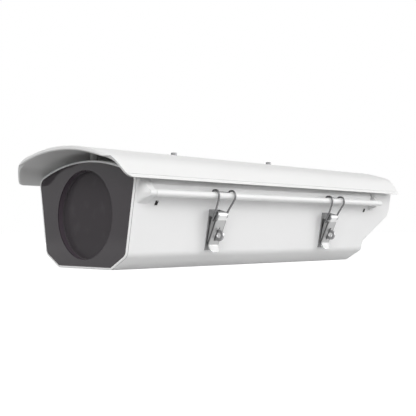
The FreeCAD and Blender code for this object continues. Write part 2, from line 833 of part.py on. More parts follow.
def hood_block(arch_inset, lip_inset):
    """Solid under the hood's outer skin, set in by one amount at the arch and one at the lips."""
    apex = roof(hood_height, hood_arch_radius, hood_arch_half_span)[2]
    bend_z = hood_bend_z()
    corners = [(-hood_half_width, hood_low), (hood_half_width, hood_low), (hood_bend_half_width, bend_z),
               (0.0, apex), (-hood_bend_half_width, bend_z)]
    below_edge = -4.0 if lip_inset else 0.0
    corners = inset_corners(corners, [below_edge, lip_inset, arch_inset, arch_inset, lip_inset])
    bend = hood_bend_radius - (arch_inset + lip_inset) / 2
    radii = [0, 0, bend, hood_arch_radius - arch_inset, bend]
    return section_slab(corners, radii, hood_front - 5, hood_rear + 5)


def hood_edge_y(x):
    """Place of the hood's front edge at a half-width, where its corners sweep back."""
    beyond = max(abs(x) - hood_half_width + hood_corner_width, 0.0)
    return hood_front + hood_corner_radius - math.sqrt(hood_corner_radius ** 2 - beyond ** 2)


def hood_plan(shift, z0):
    """Plan outline of the hood with its swept front corners, moved back by a shift."""
    half = hood_half_width + 0.5
    start = hood_half_width - hood_corner_width
    rear = hood_rear + (20 if shift else 0)
    top = hood_height + 5
    edges = []
    for side in (1, -1):
        points = [V(side * x, hood_edge_y(x) + shift, z0) for x in (start, (start + half) / 2, half)]
        edges.append(Part.Arc(points[0], points[1], points[2]).toShape())
        edges.append(Part.makeLine(points[2], V(side * half, rear, z0)))
    edges.append(Part.makeLine(V(-start, hood_front + shift, z0), V(start, hood_front + shift, z0)))
    edges.append(Part.makeLine(V(-half, rear, z0), V(half, rear, z0)))
    return Part.Face(Part.Wire(Part.__sortEdges__(edges))).extrude(V(0, 0, top - z0))


def hood_side():
    """Side outline of the hood that rounds the lower corners of its lips."""
    front = hood_front - 5
    bend_z = hood_bend_z()
    top = hood_height + 5
    corners = [(hood_edge_y(hood_half_width) - 1, hood_low), (hood_rear, hood_low), (hood_rear, top),
               (front, top), (front, bend_z), (hood_edge_y(hood_bend_half_width) - 1, bend_z)]
    return side_slab(corners, [hood_lip_front_radius, hood_lip_rear_radius, 0, 0, 0, 0], -120, 120)


def hood():
    """Curved sun hood with a thick rounded front edge and a fine groove above each lip's edge."""
    outer = hood_block(0, 0).common(hood_plan(0, hood_low - 5))
    skin = outer.cut(hood_block(hood_sheet, hood_sheet))
    hem = outer.cut(hood_block(hood_hem, hood_sheet)).cut(hood_plan(hood_hem_depth, hood_low - 5))
    shape = fuse([skin, hem])
    front_edges = []
    for edge in shape.Edges:
        points = edge.discretize(7)
        on_front = max(abs(p.y - hood_edge_y(p.x)) for p in points) < 0.02
        if on_front and max(p.z for p in points) > hood_low + 1:
            front_edges.append(edge)
    shape = shape.makeFillet(hood_edge_round, front_edges)
    shape = shape.common(hood_side())
    slope = hood_lip_run / (hood_bend_z() - hood_low)
    for side in (1, -1):
        groove_x = side * (hood_half_width - slope * hood_groove_height)
        start = V(groove_x, hood_front, hood_low + hood_groove_height)
        shape = shape.cut(rod(start, V(0, 1, 0), hood_groove_radius, hood_rear - hood_front + 1))
    for y in hood_fixing_y:
        shape = shape.cut(rod(V(0, y, body_height), V(0, 0, 1), hood_screw_radius + fit_gap, hood_rise + 5))
    return shape


def standoffs():
    """Two threaded posts that carry the hood on the lid."""
    posts = []
    under_hood = hood_block(hood_sheet, hood_sheet)
    for y in hood_fixing_y:
        post = rod(V(0, y, body_height - post_root), V(0, 0, 1), standoff_radius, hood_rise + post_root)
        post = post.common(under_hood).cut(body_block(0, y - 20, y + 20))
        stud = rod(V(0, y, body_height - lid_wall - 1.5), V(0, 0, 1), standoff_radius / 2, lid_wall + 2)
        post = post.fuse(stud)
        top = hood_height - hood_sheet
        length = hood_screw_length - hood_sheet - hood_washer_thickness
        posts.append(post.cut(rod(V(0, y, top + 1), V(0, 0, -1), hood_screw_radius, length + 1)))
    return posts


def socket_screw(seat, direction, shank_radius, head_radius, head_height, socket, length):
    """Screw with a cylindrical head and a hexagonal socket."""
    out = unit(direction) * -1.0
    head = rod(seat, out, head_radius, head_height)
    rim = [e for e in head.Edges if e.BoundBox.ZMin > seat.z + head_height - 0.01]
    head = head.makeChamfer(head_radius * 0.1, rim)
    head = head.cut(hex_prism(seat + out * (head_height * 0.5), out, socket, head_height))
    return head.fuse(rod(seat, unit(direction), shank_radius, length))


def hood_fixings():
    """Socket screws and their washers on top of the hood."""
    screws = []
    washers = []
    for y in hood_fixing_y:
        base = V(0, y, hood_height)
        washer = rod(base - V(0, 0, 1), V(0, 0, 1), hood_washer_radius, 1 + hood_washer_thickness)
        washer = washer.cut(hood_block(0, 0))
        washers.append(washer.cut(rod(base - V(0, 0, 5), V(0, 0, 1), hood_screw_radius + fit_gap, 20)))
        screws.append(socket_screw(base + V(0, 0, hood_washer_thickness), V(0, 0, -1),
                                   hood_screw_radius - fit_gap, hood_screw_head_radius,
                                   hood_screw_head_height, hood_screw_socket, hood_screw_length))
    return screws, washers


def rest_pads():
    """Posts on the caps that the closed hood comes to rest over."""
    pads = []
    under_hood = hood_block(hood_sheet + loose_gap, hood_sheet + loose_gap)
    for y in (rest_pad_front_y, rest_pad_rear_y):
        post = rod(V(0, y, body_height - post_root), V(0, 0, 1), rest_pad_radius, hood_rise + post_root)
        pads.append(post.common(under_hood).cut(body_block(0, y - 20, y + 20)))
    return pads


# Lid hinges

def hinge_rivet_seats(on_lid):
    """Seat points and inward directions of the hinge leaf rivets."""
    z = hinge_lid_rivet_z if on_lid else hinge_shell_rivet_z
    normal = V(math.cos(math.radians(side_lean_deg)), 0, math.sin(math.radians(side_lean_deg)))
    seats = []
    for centre in hinge_positions:
        for end in (1, -1):
            x = -wall_x(z) - hinge_leaf_thickness / normal.x
            seats.append((V(x, centre + end * hinge_length * 0.3, z), normal))
    return seats


def rivets(seats, length):
    """Domed rivets with their shanks running inward."""
    shapes = []
    for seat, inward in seats:
        radius = (rivet_head_radius ** 2 + rivet_head_height ** 2) / (2 * rivet_head_height)
        dome = Part.makeSphere(radius, seat - inward * (rivet_head_height - radius))
        head = dome.common(rod(seat, inward * -1.0, rivet_head_radius, rivet_head_height + 1))
        shapes.append(head.fuse(rod(seat, inward, rivet_radius, length)))
    return shapes


def hinge_leaf(corners, web, spans, centre):
    """One hinge leaf: a plate on the wall, webs and knuckles over the given spans."""
    half = hinge_length / 2
    pieces = [section_slab(corners, [0] * len(corners), centre - half, centre + half)]
    for start, end in spans:
        pieces.append(section_slab(web, [0] * len(web), centre + start, centre + end))
        pieces.append(rod(V(hinge_axis_x, centre + start, hinge_axis_z), V(0, 1, 0),
                          hinge_knuckle_radius, end - start))
    leaf = fuse(pieces)
    bore = rod(V(hinge_axis_x, centre - half - 1, hinge_axis_z), V(0, 1, 0),
               hinge_pin_radius + fit_gap, hinge_length + 2)
    return leaf.cut(bore)


def hinge_set():
    """Lower leaves, upper leaves and pins of both hinges."""
    half = hinge_length / 2
    third = hinge_length / 6
    thick = hinge_leaf_thickness / math.cos(math.radians(side_lean_deg))
    low_top = hinge_axis_z - hinge_knuckle_radius - 0.6
    high_low = hinge_axis_z + hinge_knuckle_radius + 0.4
    lower = [(-wall_x(low_top), low_top), (-wall_x(low_top) - thick, low_top),
             (-wall_x(hinge_leaf_low) - thick, hinge_leaf_low), (-wall_x(hinge_leaf_low), hinge_leaf_low)]
    lower_web = [(-wall_x(low_top - 2), low_top - 2), (-wall_x(low_top), low_top),
                 (hinge_axis_x + 2.4, hinge_axis_z - 1.6), (hinge_axis_x - 1.2, hinge_axis_z - 2.9),
                 (-wall_x(low_top - 2) - thick, low_top - 4)]
    upper = [(-wall_x(hinge_leaf_high), hinge_leaf_high), (-wall_x(hinge_leaf_high) - thick, hinge_leaf_high),
             (-wall_x(high_low) - thick, high_low), (-wall_x(high_low), high_low)]
    upper_web = [(-wall_x(high_low + 1), high_low + 1), (-wall_x(high_low + 1) - thick, high_low + 4),
                 (hinge_axis_x - 1.2, hinge_axis_z + 2.9), (hinge_axis_x + 2.4, hinge_axis_z + 1.6),
                 (-wall_x(high_low), high_low)]
    lows = []
    highs = []
    pins = []
    for centre in hinge_positions:
        low = hinge_leaf(lower, lower_web, [(-half, -third - 0.2), (third + 0.2, half)], centre)
        high = hinge_leaf(upper, upper_web, [(-third + 0.2, third - 0.2)], centre)
        for seat, inward in hinge_rivet_seats(False):
            low = low.cut(rod(seat - inward * 3, inward, rivet_radius + fit_gap, 12))
        for seat, inward in hinge_rivet_seats(True):
            high = high.cut(rod(seat - inward * 3, inward, rivet_radius + fit_gap, 12))
        lows.append(low)
        highs.append(high)
        pin = rod(V(hinge_axis_x, centre - half, hinge_axis_z), V(0, 1, 0), hinge_pin_radius, hinge_length)
        cap_end = rod(V(hinge_axis_x, centre - half - 1, hinge_axis_z), V(0, 1, 0), hinge_pin_radius + 0.7, 1)
        pins.append(pin.fuse(cap_end))
    return lows, highs, pins


# Draw latches

def lever_point(along, out):
    """Point (x, z) on the closed lever: along its face from the pivot, and out from its face."""
    angle = math.radians(lever_angle_deg)
    down = (-math.sin(angle), -math.cos(angle))
    outward = (math.cos(angle), -math.sin(angle))
    reach = lever_barrel_radius - lever_face_setback + out
    return (lever_pivot_x + down[0] * along + outward[0] * reach,
            lever_pivot_z + down[1] * along + outward[1] * reach)


def bail_pivot():
    """Point (x, z) where the bail turns in the lever's flanges."""
    angle = math.radians(bail_pivot_angle_deg)
    return (lever_pivot_x + bail_pivot_radius * math.cos(angle),
            lever_pivot_z + bail_pivot_radius * math.sin(angle))


def latch_rivet_seats():
    """Seat points and inward directions of the latch base rivets on the visible side wall."""
    normal = V(-math.cos(math.radians(side_lean_deg)), 0, math.sin(math.radians(side_lean_deg)))
    seats = []
    for centre in latch_positions:
        for z in latch_rivet_heights:
            x = wall_x(z) - latch_plate_thickness / normal.x
            seats.append((V(x, centre, z), normal))
    return seats


def latch_base(centre):
    """Base plate with two ears for the lever pin and the padlock eye."""
    thick = latch_plate_thickness / math.cos(math.radians(side_lean_deg))
    low = latch_plate_low
    high = latch_plate_high
    half = latch_half_width - 0.1
    plate = section_slab([(wall_x(low), low), (wall_x(low) + thick, low), (wall_x(high) + thick, high),
                          (wall_x(high), high)], [0] * 4, centre - half, centre + half)
    ear_low = lever_pivot_z - 0.2
    heel = math.radians(248)
    heel_x = lever_pivot_x + lever_barrel_radius * math.cos(heel)
    heel_z = lever_pivot_z + lever_barrel_radius * math.sin(heel)
    ear = [(wall_x(ear_low) + 0.5, ear_low), (heel_x, heel_z), (lever_pivot_x, lever_pivot_z),
           (lever_pivot_x, lever_pivot_z + lever_barrel_radius), (wall_x(high) + 0.5, high)]
    pieces = [plate]
    for side in (1, -1):
        outer = centre + side * half
        inner = outer - side * latch_sheet
        pieces.append(section_slab(ear, [0] * 5, min(outer, inner), max(outer, inner)))
        pieces.append(rod(V(lever_pivot_x, min(outer, inner), lever_pivot_z), V(0, 1, 0),
                          lever_barrel_radius, latch_sheet))
    leg_half = eye_radius * 0.8
    leg_end = eye_centre_x - eye_radius / 2
    leg = [(wall_x(eye_centre_z) + 0.5, eye_centre_z - leg_half), (leg_end, eye_centre_z - leg_half),
           (leg_end, eye_centre_z + leg_half), (wall_x(eye_centre_z) + 1.2, eye_centre_z + leg_half)]
    pieces.append(section_slab(leg, [0] * 4, centre - eye_thickness / 2, centre + eye_thickness / 2))
    pieces.append(rod(V(eye_centre_x, centre - eye_thickness / 2, eye_centre_z), V(0, 1, 0),
                      eye_radius, eye_thickness))
    base = fuse(pieces)
    base = base.cut(rod(V(eye_centre_x, centre - 5, eye_centre_z), V(0, 1, 0), eye_hole_radius, 10))
    base = base.cut(rod(V(lever_pivot_x, centre - 20, lever_pivot_z), V(0, 1, 0), lever_pin_radius, 40))
    for seat, inward in latch_rivet_seats():
        base = base.cut(rod(seat - inward * 3, inward, rivet_radius + fit_gap, 12))
    return base


def latch_pin(centre):
    """Pivot pin held in the ears."""
    half = latch_half_width - 0.1
    return rod(V(lever_pivot_x, centre - half, lever_pivot_z), V(0, 1, 0), lever_pin_radius, 2 * half)


def latch_lever(centre):
    """Lever with a rolled top on the pin, two side flanges, an eye slot and a finger tip."""
    barrel_half = latch_half_width - 0.1 - latch_sheet - latch_side_gap
    barrel = rod(V(lever_pivot_x, centre - barrel_half, lever_pivot_z), V(0, 1, 0),
                 lever_barrel_radius, 2 * barrel_half)
    neck_end = lever_flange_start + 2
    face = [lever_point(0, 0), lever_point(0, -latch_sheet), lever_point(neck_end, -latch_sheet),
            lever_point(neck_end, 0)]
    neck = section_slab(face, [0] * 4, centre - barrel_half, centre + barrel_half)
    end = lever_face_end
    tip_angle = math.radians(lever_tip_angle_deg)
    x1, z1 = lever_point(end, 0)
    tip_x = x1 - lever_tip_length * math.sin(tip_angle)
    tip_z = z1 - lever_tip_length * math.cos(tip_angle)
    x2, z2 = lever_point(end, -latch_sheet)
    sheet = [lever_point(lever_flange_start, 0), lever_point(lever_flange_start, -latch_sheet), (x2, z2),
             (tip_x - latch_sheet * math.cos(tip_angle), tip_z + latch_sheet * math.sin(tip_angle)),
             (tip_x, tip_z), (x1, z1)]
    plate = section_slab(sheet, [0, 0, 2, 0.4, 0.4, 2], centre - latch_half_width, centre + latch_half_width)
    tip_round = plan_tip(centre, x1, tip_x, z1, tip_z)
    plate = plate.cut(tip_round)
    px, pz = bail_pivot()
    flange = [lever_point(lever_flange_start, 0), (px + 1.2, pz + 1.9), (px - 2.15, pz + 2.0),
              (wall_x(lever_heel_height) + latch_plate_thickness + lever_wall_gap, lever_heel_height),
              lever_point(end - 2, -latch_sheet), lever_point(end - 2, 0)]
    pieces = [barrel, neck, plate]
    for side in (1, -1):
        outer = centre + side * latch_half_width
        inner = outer - side * latch_sheet
        pieces.append(section_slab(flange, [0.5, 1.0, 2.0, 1.5, 0.4, 0.4], min(outer, inner),
                                   max(outer, inner)))
    lever = fuse(pieces)
    lever = lever.cut(rod(V(lever_pivot_x, centre - 20, lever_pivot_z), V(0, 1, 0),
                          lever_pin_radius + fit_gap, 40))
    lever = lever.cut(rod(V(px, centre - 20, pz), V(0, 1, 0), bail_wire_radius + fit_gap, 40))
    slot = [lever_point(lever_slot_start, 1), lever_point(lever_slot_start, -3),
            lever_point(lever_slot_end, -3), lever_point(lever_slot_end, 1)]
    slot_half = lever_slot_width / 2
    return lever.cut(section_slab(slot, [0] * 4, centre - slot_half, centre + slot_half))


def plan_tip(centre, x1, x0, z1, z0):
    """Cutter that rounds the two lower corners of the lever's finger tip."""
    radius = latch_half_width * 0.75
    corners = [(centre - latch_half_width, z0 - 0.01), (centre + latch_half_width, z0 - 0.01),
               (centre + latch_half_width, z1), (centre - latch_half_width, z1)]
    keep = side_slab(corners, [radius, radius, 0, 0], x1 - 10, x1 + 15)
    box = block(x1 - 10, x1 + 15, centre - latch_half_width - 1, centre + latch_half_width + 1, z0 - 1, z1)
    return box.cut(keep)


def bail(centre):
    """Closed wire bail: studs in the lever, bent arms, hooks over the rail and a bar behind it."""
    px, pz = bail_pivot()
    out_x = rail_centre_x + bail_hook_radius
    top_z = rail_centre_z + bail_hook_radius
    bar_x = rail_centre_x - bail_hook_radius * math.cos(math.radians(bail_hook_angle_deg))
    bar_z = rail_centre_z + bail_hook_radius * math.sin(math.radians(bail_hook_angle_deg))
    knee_x = lever_pivot_x + bail_knee_out
    knee_z = lever_pivot_z + bail_knee_rise
    shoulder_z = rail_centre_z - bail_shoulder_drop
    stud_in = latch_half_width - latch_sheet
    low = bail_low_half_width
    half = bail_half_width
    points = [V(px, stud_in, pz), V(px, low, pz), V(knee_x, low + 0.8, knee_z), V(out_x, half, shoulder_z),
              V(out_x, half, top_z), V(bar_x + 1.9, half, top_z), V(bar_x, half, bar_z)]
    radii = [0, 1.5, 14, 10, bail_hook_radius - 0.3, 1.8, 1.5]
    mirrored = [V(p.x, -p.y, p.z) for p in reversed(points)]
    points = points + mirrored
    radii = radii + radii[::-1]
    edges = path_edges(points, radii, False)
    for edge in edges:
        edge.translate(V(0, centre, 0))
    path = Part.Wire(edges)
    start = V(px, centre + stud_in, pz)
    profile = Part.Wire([Part.makeCircle(bail_wire_radius, start, V(0, 1, 0))])
    return path.makePipeShell([profile], True, True)


# Camera plate, board and terminals

def camera_plate():
    """Aluminium plate on the floor ribs, with one camera screw hole and lightening holes."""
    z0 = rail_rib_top
    half = camera_plate_half_width
    plate = plan_slab([(-half, camera_plate_start), (half, camera_plate_start), (half, camera_plate_end),
                       (-half, camera_plate_end)], [plate_corner_radius] * 4, z0, z0 + camera_plate_thickness)
    plate = plate.cut(rod(V(0, camera_screw_y, 0), V(0, 0, 1), camera_screw_radius + fit_gap, 40))
    for y in plate_hole_y:
        plate = plate.cut(rod(V(0, y, 0), V(0, 0, 1), plate_hole_radius, 40))
    for x, y in rib_screw_points(camera_plate_start, camera_plate_end):
        seat = V(x, y, z0 + camera_plate_thickness)
        plate = plate.cut(flat_screw_hole(seat, V(0, 0, -1), screw_radius, screw_head_radius, screw_length))
    return plate


def plate_screws():
    """Countersunk screws that hold the camera plate on the floor ribs, flush with its face."""
    z = rail_rib_top + camera_plate_thickness
    return [flat_screw(V(x, y, z), V(0, 0, -1), V(0, 1, 0), screw_radius, screw_head_radius,
                       screw_length + camera_plate_thickness - 0.5)
            for x, y in rib_screw_points(camera_plate_start, camera_plate_end)]


def camera_screw():
    """Knurled screw that comes up through the plate into the camera."""
    top = rail_rib_top
    head = rod(V(0, camera_screw_y, top), V(0, 0, -1), camera_screw_head_radius, camera_screw_head_height)
    for i in range(16):
        angle = math.radians(22.5 * i)
        x = (camera_screw_head_radius + 0.3) * math.cos(angle)
        y = camera_screw_y + (camera_screw_head_radius + 0.3) * math.sin(angle)
        head = head.cut(rod(V(x, y, 0), V(0, 0, 1), 0.7, 20))
    length = camera_plate_thickness + camera_stud_height
    return head.fuse(rod(V(0, camera_screw_y, top - 1), V(0, 0, 1), camera_screw_radius, length + 1))


def board_screws():
    """Pan-head screws that hold the connection board on the floor ribs."""
    z = rail_rib_top + board_thickness
    return [pan_screw(V(x, y, z), V(0, 0, -1), screw_radius, screw_head_radius, screw_head_height,
                      screw_length + board_thickness - 0.5)
            for x, y in rib_screw_points(board_start, board_end)]


def terminal_board():
    """Connection board on the floor ribs behind the camera plate."""
    half = board_half_width
    board = plan_slab([(-half, board_start), (half, board_start), (half, board_end), (-half, board_end)],
                      [2] * 4, rail_rib_top, rail_rib_top + board_thickness)
    for x, y in rib_screw_points(board_start, board_end):
        board = board.cut(rod(V(x, y, 0), V(0, 0, 1), screw_radius + fit_gap, 40))
    return board


def terminal_block():
    """Row of wire terminals with a stepped profile, entry holes and screw wells."""
    z0 = rail_rib_top + board_thickness
    y0 = (board_start + board_end - terminal_depth) / 2
    width = terminal_poles * terminal_pitch
    profile = [(y0, z0), (y0 + terminal_depth, z0), (y0 + terminal_depth, z0 + terminal_height * 0.5),
               (y0 + terminal_depth - 2.5, z0 + terminal_height), (y0 + 2.5, z0 + terminal_height),
               (y0, z0 + terminal_height * 0.5)]
    body = side_slab(profile, [0] * 6, -width / 2, width / 2)
    for i in range(terminal_poles):
        x = -width / 2 + (i + 0.5) * terminal_pitch
        body = body.cut(rod(V(x, y0 + terminal_depth / 2, z0 + terminal_height + 1), V(0, 0, -1), 2.0, 5))
        body = body.cut(rod(V(x, y0 + terminal_depth + 1, z0 + 3.8), V(0, -1, 0), 1.7, 7))
    return body


# Build every node

def build():
    """Make and write all nodes."""
    bulkhead, glass = window_stack()[:2]
    export("lower_shell", [lower_shell()])
    export("front_cap", [front_cap()])
    export("front_panel", [front_panel()])
    export("window_seal", [ring(window_radius - window_seal_lap, glass_radius, bulkhead, glass)])
    export("window_glass", [rod(V(0, glass, window_height), V(0, 1, 0), glass_radius, glass_thickness)])
    export("glass_retainer", [glass_retainer()])
    export("retainer_screws", retainer_screws())
    export("rear_cap", [rear_cap()])
    end_seals = [end_seal(front_cap_depth, 1, -1, body_height + 1),
                 end_seal(rear_joint, -1, -1, split_height),
                 end_seal(lid_rear + lid_gap, -1, split_height + 1, body_height + 1)]
    export("end_seals", end_seals)
    export("side_screws", side_screws())
    bodies, nuts, locknuts = glands()
    export("gland_bodies", bodies)
    export("gland_nuts", nuts)
    export("gland_locknuts", locknuts)
    export("lid_seal", [lid_seal()])
    export("rest_pads", rest_pads())
    export("camera_plate", [camera_plate()])
    export("camera_screw", [camera_screw()])
    export("plate_screws", plate_screws())
    export("terminal_board", [terminal_board()])
    export("terminal_block", [terminal_block()])
    export("board_screws", board_screws())
    lows, highs, pins = hinge_set()
    export("hinge_lower_leaves", lows)
    export("hinge_upper_leaves", highs)
    export("hinge_pins", pins)
    export("hinge_shell_rivets", rivets(hinge_rivet_seats(False), rivet_length))
    export("hinge_lid_rivets", rivets(hinge_rivet_seats(True), rivet_length))
    export("lid_shell", [lid_shell()])
    export("standoffs", standoffs())
    export("hood", [hood()])
    screws, washers = hood_fixings()
    export("hood_screws", screws)
    export("hood_washers", washers)
    export("latch_bases", [latch_base(y) for y in latch_positions])
    export("latch_pins", [latch_pin(y) for y in latch_positions])
    export("latch_rivets", rivets(latch_rivet_seats(), rivet_length))
    export("front_lever", [latch_lever(latch_positions[0])])
    export("rear_lever", [latch_lever(latch_positions[1])])
    export("front_bail", [bail(latch_positions[0])])
    export("rear_bail", [bail(latch_positions[1])])


build()
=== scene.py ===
"""Looks for a weatherproof camera housing: painted shell and sun hood, dark window end, steel latches.

Every size is in metres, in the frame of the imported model: +Z up, -Y towards the window, +X towards the latches.
"""

import math

import bpy
import numpy as np
from mathutils import Matrix, Vector


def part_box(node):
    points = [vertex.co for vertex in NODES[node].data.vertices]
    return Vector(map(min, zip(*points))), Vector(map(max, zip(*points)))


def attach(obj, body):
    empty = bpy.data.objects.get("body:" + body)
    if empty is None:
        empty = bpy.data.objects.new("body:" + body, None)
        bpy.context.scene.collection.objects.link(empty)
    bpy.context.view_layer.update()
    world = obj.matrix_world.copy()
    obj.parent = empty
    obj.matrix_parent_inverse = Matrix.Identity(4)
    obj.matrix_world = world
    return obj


bl_info = {
    "name": "Camera housing looks",
    "version": (1, 0, 0),
    "blender": (4, 5, 0),
    "location": "View3D > Sidebar > Housing",
    "description": "Dresses a packed camera housing with paint, glass, steel and a plain stage",
    "category": "Object",
}

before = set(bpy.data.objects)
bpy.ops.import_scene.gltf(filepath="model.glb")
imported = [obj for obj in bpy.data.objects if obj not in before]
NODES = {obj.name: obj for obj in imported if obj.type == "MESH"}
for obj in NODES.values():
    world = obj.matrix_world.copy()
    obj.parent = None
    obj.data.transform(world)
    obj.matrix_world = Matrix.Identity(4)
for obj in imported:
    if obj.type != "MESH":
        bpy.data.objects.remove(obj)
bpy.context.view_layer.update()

# The side wall leans outward: half its width at its foot, the height of that foot, and its slope.
WALL_FOOT = (0.0645, 0.013)
WALL_SLOPE = math.tan(math.radians(9.9))
# Side screws: y of the front and of the rear ones, and their height.
SIDE_SCREW_Y = (-0.161, 0.1915)
SIDE_SCREW_Z = 0.063
# Socket mark on their heads, painted near black as the shade of a recess that the mesh does not have: half its height
# and width, and how far it slants back for each metre up.
SOCKET_SHADE_HALF = (0.0022, 0.0019)
SOCKET_SHADE_SLANT = 0.35
# Levers: y of the middle of each, half the width inside and outside their flanges, the pin's x and z.
LEVER_Y = (-0.082, 0.110)
LEVER_HALF = (0.0061, 0.00725)
LEVER_PIN = (0.08163, 0.0527)
# The lever's face: its lean from upright, how far it stands out from the pin, and where it starts below the pin.
LEVER_LEAN = math.radians(24.7)
LEVER_REACH = 0.0031
LEVER_FACE_START = 0.0044
# The window panel's face along y, and where the wall of its opening starts behind it.
PANEL_FACE = -0.1898
OPENING_START = PANEL_FACE + 0.0008
# The front cap's rim ends here along y, and the line of painted shadow in the seam behind it is so wide.
RIM_END = -0.1892
SEAM_SHADOW_WIDTH = 0.0008
# Terminal block: number of wells, how deep their screws stand, and half a screw head's outline as (radius, height).
TERMINAL_WELLS = 6
WELL_DEPTH = 0.004
SCREW_HEAD = ((0.0, 0.0012), (0.0012, 0.0012), (0.00175, 0.0010), (0.0019, 0.0006), (0.0019, 0.0))
SCREW_SEGMENTS = 24

# Colours that no setting covers, pale pieces first.
# The rim's white, paler than the shell, is a painted highlight.
RIM_HIGHLIGHT_COLOUR = (0.97, 0.97, 0.97)
TERMINAL_STEEL = (0.60, 0.58, 0.52)
SCREW_STEEL = (0.50, 0.50, 0.50)
PAD_PLASTIC = (0.34, 0.34, 0.335)
RETAINER_SHEET = (0.30, 0.30, 0.30)
HOOD_SCREW_STEEL = (0.26, 0.26, 0.265)
BOARD_TRACK = (0.06, 0.26, 0.09)
TERMINAL_PLASTIC = (0.05, 0.25, 0.08)
BOARD_LACQUER = (0.022, 0.13, 0.045)
WINDOW_SEAL_RUBBER = (0.050, 0.046, 0.050)
GLAND_NYLON = (0.045, 0.045, 0.047)
SEAL_RUBBER = (0.030, 0.030, 0.031)
# Near black painted as shade in the side screws' slots and socket marks.
SLOT_SHADE_COLOUR = (0.020, 0.018, 0.018)

# Share of white that the floor shows by itself near the object; the lamps add the rest.
FLOOR_GLOW = 0.80
# Radii of the floor's rings, and its depth below the object.
FLOOR_RINGS = (0.0, 1.0, 3.0, 12.0)
FLOOR_DROP = 0.0002

# Lamps: name, power as a share of the key lamp's, and place. All are square, 1 m wide, and point at one target.
LAMPS = (("key_lamp", 1.0, (1.1, -1.2, 0.9)), ("side_lamp", 0.31, (1.7, 0.0, 0.8)),
         ("high_lamp", 0.26, (1.3, 0.0, 1.4)), ("rear_lamp", 0.83, (1.3, 1.3, 0.5)),
         ("front_lamp", 0.46, (-0.4, -1.7, 1.0)), ("far_lamp", 0.62, (-1.7, 0.3, 0.5)))
LAMP_WIDTH = 1.0
LAMP_TARGET = (0.0, 0.0, 0.06)

# Camera: turn from the front and tilt in degrees, the point it was fitted about, and its place from there
# backwards, to the right and up.
CAMERA_TURN = 44.158
CAMERA_TILT = -1.729
CAMERA_ABOUT = (0.0, 0.010, 0.050)
CAMERA_PLACE = (0.892821, -0.018358, 0.013469)


# Shader building

class Value:
    """An output socket that takes part in sums. Each operator adds one Math node."""

    def __init__(self, recipe, socket):
        self.recipe = recipe
        self.socket = socket

    def math(self, operation, first, second=0.0):
        """One Math node on two values."""
        return self.recipe.add("ShaderNodeMath", {"operation": operation}, {0: first, 1: second})["Value"]

    def __add__(self, other):
        return self.math("ADD", self, other)

    def __radd__(self, other):
        return self.math("ADD", other, self)

    def __sub__(self, other):
        return self.math("SUBTRACT", self, other)

    def __rsub__(self, other):
        return self.math("SUBTRACT", other, self)

    def __mul__(self, other):
        return self.math("MULTIPLY", self, other)

    def __rmul__(self, other):
        return self.math("MULTIPLY", other, self)

    def size(self):
        """The value without its sign."""
        return self.math("ABSOLUTE", self)

    def above(self, edge, softness):
        """Smooth step from 0 to 1 as the value passes an edge."""
        node = self.recipe.add("ShaderNodeMapRange", {"interpolation_type": "SMOOTHSTEP"},
                               {"Value": self, "From Min": edge - softness, "From Max": edge + softness})
        return node["Result"]


class Outputs:
    """The output sockets of one node, read by name or by number."""

    def __init__(self, recipe, node):
        self.recipe = recipe
        self.node = node

    def __getitem__(self, key):
        return Value(self.recipe, self.node.outputs[key])


class Recipe:
    """The nodes of a material or of the world, all added by one method."""

    def __init__(self, owner):
        owner.use_nodes = True
        self.owner = owner
        self.tree = owner.node_tree
        self.tree.nodes.clear()
        self.coordinates = None

    def add(self, kind, settings, inputs):
        """A node of a kind, with its settings set first and then the values or links of its sockets."""
        node = self.tree.nodes.new(kind)
        for key, value in settings.items():
            setattr(node, key, value)
        for key, value in inputs.items():
            if isinstance(value, Value):
                self.tree.links.new(value.socket, node.inputs[key])
            else:
                node.inputs[key].default_value = value
        return Outputs(self, node)

    def place(self, kind="Object"):
        """The piece's own coordinates, or with "Normal" the way that its surface faces."""
        if self.coordinates is None:
            self.coordinates = self.add("ShaderNodeTexCoord", {}, {})
        return self.coordinates[kind]

    def axes(self, kind="Object"):
        """The x, y and z of a place or of a normal."""
        return self.add("ShaderNodeSeparateXYZ", {}, {"Vector": self.place(kind)})

    def noise(self, scale, detail, stretch=(1.0, 1.0, 1.0)):
        """Noise on the piece's own coordinates, in waves per metre, drawn out along an axis by a stretch."""
        mapped = self.add("ShaderNodeMapping", {}, {"Vector": self.place(), "Scale": stretch})["Vector"]
        return self.add("ShaderNodeTexNoise", {}, {"Vector": mapped, "Scale": scale, "Detail": detail})["Fac"]

    def blend(self, factor, first, second):
        """Colour between two colours."""
        return self.add("ShaderNodeMix", {"data_type": "RGBA"}, {0: factor, 6: first, 7: second})[2]

    def bump(self, height, distance):
        """Normal from a height in units of a distance in metres."""
        return self.add("ShaderNodeBump", {}, {"Height": height, "Distance": distance, "Strength": 1.0})["Normal"]

    def finish(self, inputs):
        """Principled shader on the material's output."""
        shader = self.add("ShaderNodeBsdfPrincipled", {}, inputs)["BSDF"]
        self.add("ShaderNodeOutputMaterial", {}, {"Surface": shader})
        return self.owner


def material_recipe(name):
    """Empty recipe of a new material."""
    return Recipe(bpy.data.materials.new(name))


def solid(colour, share=1.0):
    """RGBA of a colour, brightened or darkened by a share."""
    return (colour[0] * share, colour[1] * share, colour[2] * share, 1.0)


def dress(names, material):
    """Give CAD nodes a material in place of their plain one."""
    for name in names:
        slots = NODES[name].data.materials
        if len(slots) == 0:
            slots.append(material)
        for index in range(len(slots)):
            slots[index] = material


def from_middle(y, middles):
    """Distance along y from the middle of the nearer of two like pieces, one on each side of y = 0."""
    return y - middles[0] - y.above(0.0, 0.001) * (middles[1] - middles[0])


# Finishes

def coat(r, colour, roughness, grain):
    """What the two coats share: a faint cloudy tone, a gloss that drifts, and the orange-peel bump."""
    cloud = r.noise(26.0, 3.0)
    peel = r.noise(grain, 2.0)
    tone = r.blend(cloud, solid(colour, 0.982), solid(colour, 1.0))
    gloss = roughness + (cloud - 0.5) * 0.10 + (peel - 0.5) * 0.06
    return tone, gloss, r.bump(peel, 0.00006)


